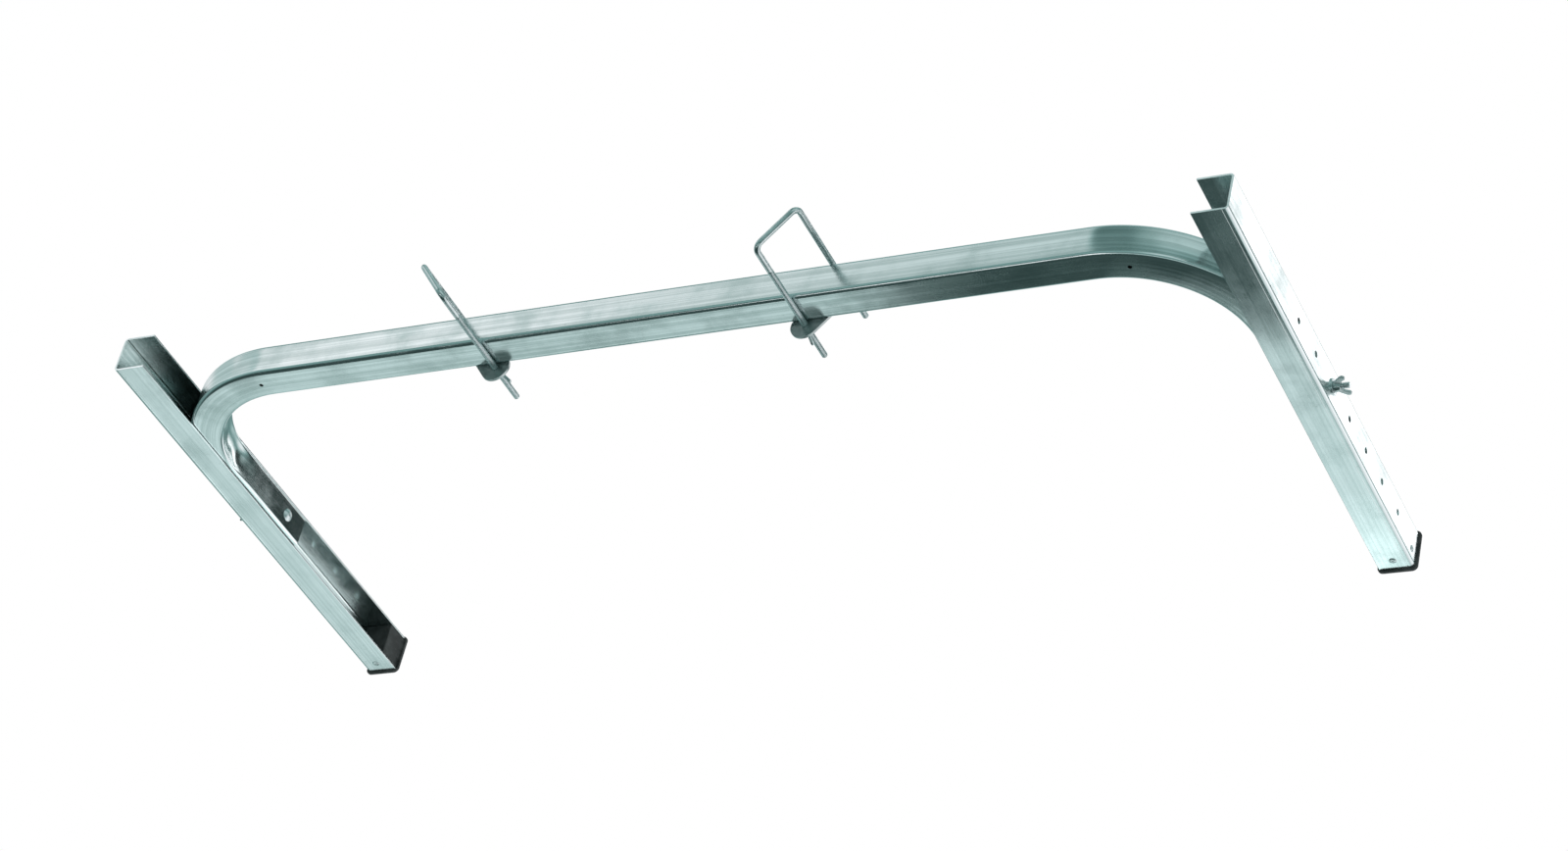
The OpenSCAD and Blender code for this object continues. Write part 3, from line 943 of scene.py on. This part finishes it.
make_tube()
for name in SIDES:
    make_arm(name)
    make_pad(name)
    make_rivets(name)
    make_lock_bolt(name)
    make_lock_hardware(name, math.radians(LOCK_TURN[name]))
    make_u_bolt(name)
    make_clamp_plate(name)
    for level, end in (("upper", 1), ("lower", -1)):
        make_clamp_hardware(name, end, level, math.radians(CLAMP_TURN[name, level]))


# ---- floor ----
FLOOR_Z = -2.95
FLOOR_HALF = 150.0


def make_floor():
    """A wide pale floor, far below because the camera looks up at the part from under it."""
    mesh = bpy.data.meshes.new("floor")
    h = FLOOR_HALF
    corners = [(-h, -h, FLOOR_Z), (h, -h, FLOOR_Z), (h, h, FLOOR_Z), (-h, h, FLOOR_Z)]
    mesh.from_pydata(corners, [], [(0, 1, 2, 3)])
    mesh.materials.append(studio_floor("studio_floor"))
    floor = as_object("floor", mesh)
    floor.visible_glossy = False


make_floor()


# ---- camera ----
def make_camera():
    """Looks up at the part from below, in front and to its right, rolled a little."""
    swing, lift, roll = math.radians(33.83), math.radians(36.42), math.radians(14.50)
    target = Vector((0.1065, 0.1270, -0.0730))
    distance = 3.9555
    ahead = Vector((-math.sin(swing) * math.cos(lift), math.cos(swing) * math.cos(lift), math.sin(lift)))
    level = Vector((math.cos(swing), math.sin(swing), 0))
    right = level * math.cos(roll) + level.cross(ahead) * math.sin(roll)
    up = right.cross(ahead)
    data = bpy.data.cameras.new("camera")
    data.lens = 90.43
    data.sensor_width = 36.0
    data.clip_end = 400.0
    camera = as_object("camera", data)
    turn = Matrix((right, up, -ahead)).transposed().to_4x4()
    camera.matrix_world = Matrix.Translation(target - ahead * distance) @ turn
    bpy.context.scene.camera = camera


make_camera()


# ---- studio light ----
# The room's brightness by height: each band's two heights in degrees and the brightness at each of them.
LOW_BAND = (-34, -12, 0.07, 0.34)
HIGH_BAND = (12, 36, 0.0, -0.12)
TOP_BAND = (45, 80, 0.0, 0.35)
ROOM_DARKEST = 0.03
DIM_TINT = rgb(0.58, 1.0, 0.97)
BRIGHT_TINT = rgb(1.0, 1.0, 1.02)
# Each soft panel: its middle, half width and softness round the compass, its lowest and highest edge and
# their softness, all in degrees, then its strength. The compass runs from +Y (0) through +X (90).
PANELS = (
    (22, 8, 4, 28, 54, 6, 1.60),
    (46, 9, 4, 20, 48, 5, -0.34),
    (67, 5, 6, 22, 46, 6, 0.62),
    (-145, 9, 9, 28, 50, 8, 0.50),
    (-126, 10, 14, 18, 48, 10, 0.42),
    (-153, 9, 6, -54, -39, 4, 1.3),
    (150, 40, 20, -56, -38, 6, 0.6),
    (-85, 20, 18, 20, 48, 10, 0.45),
    (45, 36, 14, -50, 12, 8, 0.80),
    (-45, 26, 16, 14, 36, 8, 0.45),
    (130, 26, 18, 4, 46, 8, 0.40),
)

CARD_TINT = (0.84, 1.0, 1.0)
# Cards that face up under the part, whose reflections run along the undersides of the bar and the arms: each
# one's middle, its length along X and along Y, all in metres, and its brightness.
CARDS = (
    ((-0.685, 0.56, -0.52), 1.23, 0.32, 0.68),
    ((-1.10, 1.01, -0.52), 0.60, 0.58, 0.66),
    ((0.40, 1.02, -0.52), 0.44, 0.66, 0.72),
    ((0.40, 1.24, -0.53), 0.60, 0.30, 0.70),
)


def make_cards():
    """Soft cards that the metal reflects and the camera doesn't see."""
    for number, (middle, length_x, length_y, brightness) in enumerate(CARDS):
        light = bpy.data.lights.new("card_%d" % number, "AREA")
        light.shape = "RECTANGLE"
        light.size, light.size_y = length_x, length_y
        light.energy = math.pi * length_x * length_y * brightness
        light.color = CARD_TINT
        card = as_object("card_%d" % number, light)
        card.matrix_world = Matrix.Translation(middle) @ Matrix.Rotation(math.pi, 4, "Y")
        card.visible_camera = False


def make_studio():
    """A plain white room for the camera and for soft light, and panels that the part's metal reflects."""
    scene = bpy.context.scene
    scene.view_settings.view_transform = "Standard"
    world = bpy.data.worlds.new("studio")
    scene.world = world
    world.use_nodes = True
    tree = world.node_tree
    tree.nodes.clear()

    def node(kind, inputs=(), **settings):
        made = tree.nodes.new(kind)
        for key, value in settings.items():
            setattr(made, key, value)
        for key, value in inputs:
            if isinstance(value, bpy.types.NodeSocket):
                tree.links.new(value, made.inputs[key])
            else:
                made.inputs[key].default_value = value
        return made.outputs

    def calc(how, a, b=0.0):
        return node("ShaderNodeMath", ((0, a), (1, b)), operation=how)["Value"]

    def step(value, low, high, start=0.0, end=1.0):
        ends = (("Value", value), ("From Min", low), ("From Max", high), ("To Min", start), ("To Max", end))
        return node("ShaderNodeMapRange", ends, interpolation_type="SMOOTHSTEP")["Result"]

    ray = node("ShaderNodeSeparateXYZ", (("Vector", node("ShaderNodeTexCoord")["Generated"]),))
    compass = calc("MULTIPLY", calc("ARCTAN2", ray["X"], ray["Y"]), math.degrees(1))
    height = calc("MULTIPLY", calc("ARCSINE", ray["Z"]), math.degrees(1))
    total = step(height, *LOW_BAND)
    for band in (HIGH_BAND, TOP_BAND):
        total = calc("ADD", total, step(height, *band))
    for middle, half, soft, low, high, edge, strength in PANELS:
        away = calc("ABSOLUTE", calc("SUBTRACT", compass, middle))
        away = calc("MINIMUM", away, calc("SUBTRACT", 360, away))
        across = step(away, half, half + soft, strength, 0.0)
        above = step(height, low - edge, low + edge)
        below = step(height, high - edge, high + edge, 1.0, 0.0)
        up = calc("MULTIPLY", above, below)
        total = calc("ADD", total, calc("MULTIPLY", across, up))
    total = calc("MAXIMUM", total, ROOM_DARKEST)
    tints = ((0, step(total, 0.25, 1.05)), (6, DIM_TINT), (7, BRIGHT_TINT))
    tint = node("ShaderNodeMix", tints, data_type="RGBA")
    room = node("ShaderNodeBackground", (("Color", tint[2]), ("Strength", total)))
    backdrop = node("ShaderNodeBackground", (("Color", rgb(1.0, 1.0, 1.0)),))
    path = node("ShaderNodeLightPath")
    plain = calc("MAXIMUM", path["Is Camera Ray"], path["Is Diffuse Ray"])
    choices = ((0, plain), (1, room["Background"]), (2, backdrop["Background"]))
    choose = node("ShaderNodeMixShader", choices)
    node("ShaderNodeOutputWorld", (("Surface", choose["Shader"]),))


make_studio()
make_cards()
